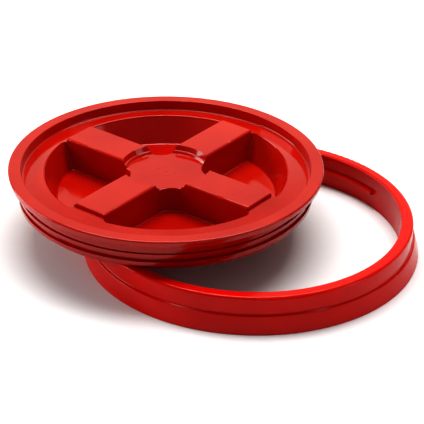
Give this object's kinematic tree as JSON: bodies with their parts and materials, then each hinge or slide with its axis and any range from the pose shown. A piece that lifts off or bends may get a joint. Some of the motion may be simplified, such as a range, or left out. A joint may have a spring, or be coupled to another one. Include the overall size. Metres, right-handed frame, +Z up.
{
  "type": "screw-on pail lid with adapter ring",
  "caption": "Adapter ring that snaps on a round pail, with a threaded lid that has a recessed cross grip, lying loose and off-centre on the ring.",
  "frame": {"origin": "the adapter ring's axis, on the plane that the ring stands on", "axes": "+Z up along the ring's axis; +X to the right as the object is usually seen, -Y towards the viewer"},
  "size_m": [0.399, 0.3476, 0.0712],
  "materials": {
    "red_plastic_ring": "glossy moulded polypropylene",
    "red_plastic_lid": "glossy moulded polypropylene",
    "gasket_rubber": "matt soft rubber",
    "o_ring_rubber": "smooth rubber"
  },
  "bodies": {
    "ring": {"adapter_ring": "red_plastic_ring", "pail_gasket": "gasket_rubber"},
    "seal": {"lid_o_ring": "o_ring_rubber"},
    "lid": {"screw_lid": "red_plastic_lid"}
  },
  "joints": [
    {"name": "lid_lift", "type": "slide", "parent": "ring", "child": "seal", "axis": [0, 0, 1], "range_m": [0, 0.12]},
    {"name": "lid_turn", "type": "hinge", "parent": "seal", "child": "lid", "pos_m": [-0.0833, 0.0319, 0.0623], "axis": [0, 0, 1], "continuous": true}
  ]
}
